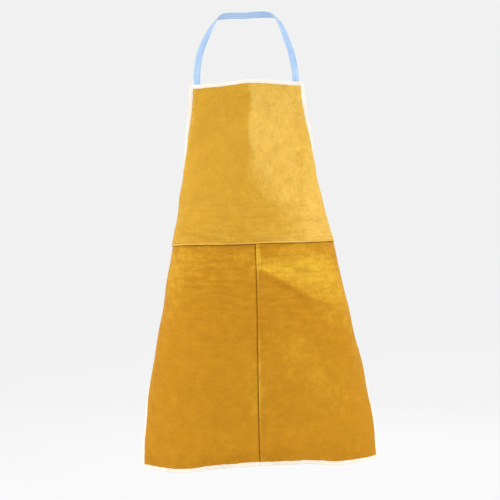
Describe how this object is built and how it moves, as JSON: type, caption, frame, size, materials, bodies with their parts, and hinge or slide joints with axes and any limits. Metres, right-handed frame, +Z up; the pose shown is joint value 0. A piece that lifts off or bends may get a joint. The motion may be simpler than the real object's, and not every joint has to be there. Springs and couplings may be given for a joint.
{
  "type": "welding apron",
  "caption": "Split-leather bib apron in its worn shape, with a cloth neck strap, a two-panel skirt sewn below the waist seam, bound edges and ties bowed behind.",
  "frame": {"origin": "nape of the wearer's neck, where the neck strap carries the apron's weight", "axes": "+Z up, -Y the way the wearer faces, +X the wearer's left"},
  "size_m": [0.57, 0.2945, 1.1128],
  "materials": {
    "suede": "golden split cowhide, napped suede on both faces",
    "binding": "cream cotton binding tape, plain weave",
    "tape": "pale blue cotton herringbone tape",
    "thread": "twisted sewing thread"
  },
  "bodies": {
    "neck": {"neck_strap": "tape"},
    "bib": {"bib_panel": "suede", "top_binding": "binding", "bib_binding_left": "binding", "bib_binding_right": "binding", "waist_tie_left": "tape", "waist_tie_right": "tape", "tie_knot": "tape", "bow_loop_left": "tape", "bow_loop_right": "tape", "waist_seam_stitching": "thread", "top_binding_stitching": "thread", "bib_binding_stitching_left": "thread", "bib_binding_stitching_right": "thread", "strap_tack_left": "thread", "strap_tack_right": "thread", "tie_tack_left": "thread", "tie_tack_right": "thread"},
    "skirt": {"skirt_panel_left": "suede", "skirt_panel_right": "suede", "skirt_binding_left": "binding", "skirt_binding_right": "binding", "hem_binding": "binding", "centre_seam_stitching": "thread", "skirt_binding_stitching_left": "thread", "skirt_binding_stitching_right": "thread", "hem_binding_stitching": "thread"},
    "tail_left": {"tie_tail_left": "tape"},
    "tail_right": {"tie_tail_right": "tape"}
  },
  "joints": [
    {"name": "bib_swing", "type": "hinge", "parent": "neck", "child": "bib", "pos_m": [0, -0.1835, -0.2032], "axis": [-1, 0, 0], "range_deg": [0, 20]},
    {"name": "skirt_swing", "type": "hinge", "parent": "bib", "child": "skirt", "pos_m": [0, -0.2018, -0.601], "axis": [-1, 0, 0], "range_deg": [0, 30]},
    {"name": "tie_tail_left_swing", "type": "hinge", "parent": "bib", "child": "tail_left", "pos_m": [0.0095, 0.0211, -0.504], "axis": [1, 0, 0], "range_deg": [0, 50]},
    {"name": "tie_tail_right_swing", "type": "hinge", "parent": "bib", "child": "tail_right", "pos_m": [-0.0095, 0.0211, -0.504], "axis": [1, 0, 0], "range_deg": [0, 50]}
  ]
}
